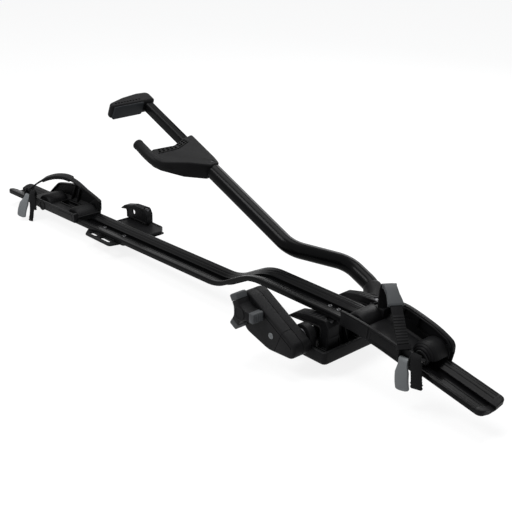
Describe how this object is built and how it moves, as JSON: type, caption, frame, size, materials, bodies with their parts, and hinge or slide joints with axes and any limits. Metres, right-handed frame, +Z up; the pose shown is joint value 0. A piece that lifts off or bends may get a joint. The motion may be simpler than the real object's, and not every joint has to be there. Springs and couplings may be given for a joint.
{
  "type": "roof mounted bike carrier",
  "caption": "Wheel tray for a car's roof bars with a folding arm whose screw-driven jaws hold a bike frame, strapped wheel holders and claws that grip the bars.",
  "frame": {"origin": "centre of the front foot's seat on the roof bar", "axes": "+X along the tray to its front, +Y to the side with the arm, +Z up from the roof bars"},
  "size_m": [1.4541, 0.3161, 0.3619],
  "materials": {
    "tray_paint": "satin black coating",
    "black_plastic": "fine grain",
    "soft_rubber": "soft",
    "lever_grey": "smooth",
    "pad_grey": "soft",
    "steel": "black zinc plating"
  },
  "bodies": {
    "base": {"tray": "tray_paint", "rear_end_cap": "black_plastic", "front_end_cap": "black_plastic", "foot_base": "black_plastic", "front_seat_pad": "soft_rubber", "foot_tower": "black_plastic", "tray_bolts": "steel", "front_holder": "black_plastic", "front_holder_plate": "black_plastic", "front_strap": "soft_rubber", "front_rim_pad": "pad_grey", "front_strap_tail": "soft_rubber", "front_buckle": "black_plastic", "front_lever_pin": "steel", "rear_bracket": "black_plastic", "rear_seat_pad": "soft_rubber", "bracket_bolts": "steel"},
    "arm": {"pivot_shaft": "steel", "pivot_washers": "steel", "housing_shell": "black_plastic", "housing_cover": "black_plastic", "housing_screws": "steel", "arm_knuckle": "black_plastic", "knuckle_screw": "steel", "arm_tube": "tray_paint", "lower_jaw": "black_plastic", "jaw_horn": "soft_rubber", "lower_jaw_grip": "soft_rubber", "jaw_screw": "steel", "screw_bearing": "steel", "drive_cable": "steel"},
    "jaw": {"slide_bar": "tray_paint", "screw_nut": "steel", "upper_jaw": "black_plastic", "upper_jaw_pad": "soft_rubber"},
    "screw": {"lead_screw": "steel"},
    "knob": {"knob_body": "black_plastic", "knob_tips": "pad_grey", "knob_spindle": "steel", "clutch_washers": "steel"},
    "lock": {"lock_cylinder": "lever_grey"},
    "near_claw": {"near_claw": "black_plastic", "near_claw_bolt": "steel"},
    "far_claw": {"far_claw": "black_plastic", "far_claw_bolt": "steel"},
    "rear_claw": {"rear_claw": "black_plastic", "rear_claw_bolt": "steel"},
    "front_lever": {"front_lever": "lever_grey"},
    "carriage": {"rear_holder": "black_plastic", "rear_holder_plate": "black_plastic", "holder_key": "black_plastic", "rear_strap": "soft_rubber", "rear_rim_pad": "black_plastic", "rear_strap_tail": "soft_rubber", "rear_buckle": "black_plastic", "rear_lever_pin": "steel"},
    "rear_lever": {"rear_lever": "lever_grey"}
  },
  "joints": [
    {"name": "arm_fold", "type": "hinge", "parent": "base", "child": "arm", "pos_m": [-0.019, 0, 0.04], "axis": [0, 1, 0], "range_deg": [-19, 67]},
    {"name": "jaw_close", "type": "slide", "parent": "arm", "child": "jaw", "axis": [0.9191, 0, -0.3939], "range_m": [0, 0.084]},
    {"name": "screw_turn", "type": "hinge", "parent": "arm", "child": "screw", "pos_m": [-0.29474, 0.0635, 0.15818], "axis": [0.9191, 0, -0.3939], "range_deg": [-2, 2162]},
    {"name": "knob_turn", "type": "hinge", "parent": "arm", "child": "knob", "pos_m": [-0.10566, -0.135, 0.07388], "axis": [0, -1, 0], "range_deg": [-2162, 2]},
    {"name": "lock_turn", "type": "hinge", "parent": "arm", "child": "lock", "pos_m": [-0.0511, -0.122, 0.04125], "axis": [0, -1, 0], "range_deg": [0, 90]},
    {"name": "near_claw_slide", "type": "slide", "parent": "base", "child": "near_claw", "axis": [1, 0, 0], "range_m": [-0.007, 0.007]},
    {"name": "far_claw_slide", "type": "slide", "parent": "base", "child": "far_claw", "axis": [1, 0, 0], "range_m": [-0.007, 0.007]},
    {"name": "rear_claw_slide", "type": "slide", "parent": "base", "child": "rear_claw", "axis": [1, 0, 0], "range_m": [-0.007, 0.007]},
    {"name": "front_lever_turn", "type": "hinge", "parent": "base", "child": "front_lever", "pos_m": [0.19, -0.0477, 0.066], "axis": [-1, 0, 0], "range_deg": [0, 100]},
    {"name": "holder_slide", "type": "slide", "parent": "base", "child": "carriage", "axis": [0.9998, 0, 0.0209], "range_m": [-0.06, 0.035]},
    {"name": "rear_lever_turn", "type": "hinge", "parent": "carriage", "child": "rear_lever", "pos_m": [-0.98999, -0.048, 0.03204], "axis": [-1, 0, 0], "range_deg": [-8, 75]}
  ],
  "couplings": [
    {"joint": "screw_turn", "follows": "jaw_close", "rad_per_m": 448.8},
    {"joint": "knob_turn", "follows": "jaw_close", "rad_per_m": -448.8}
  ]
}
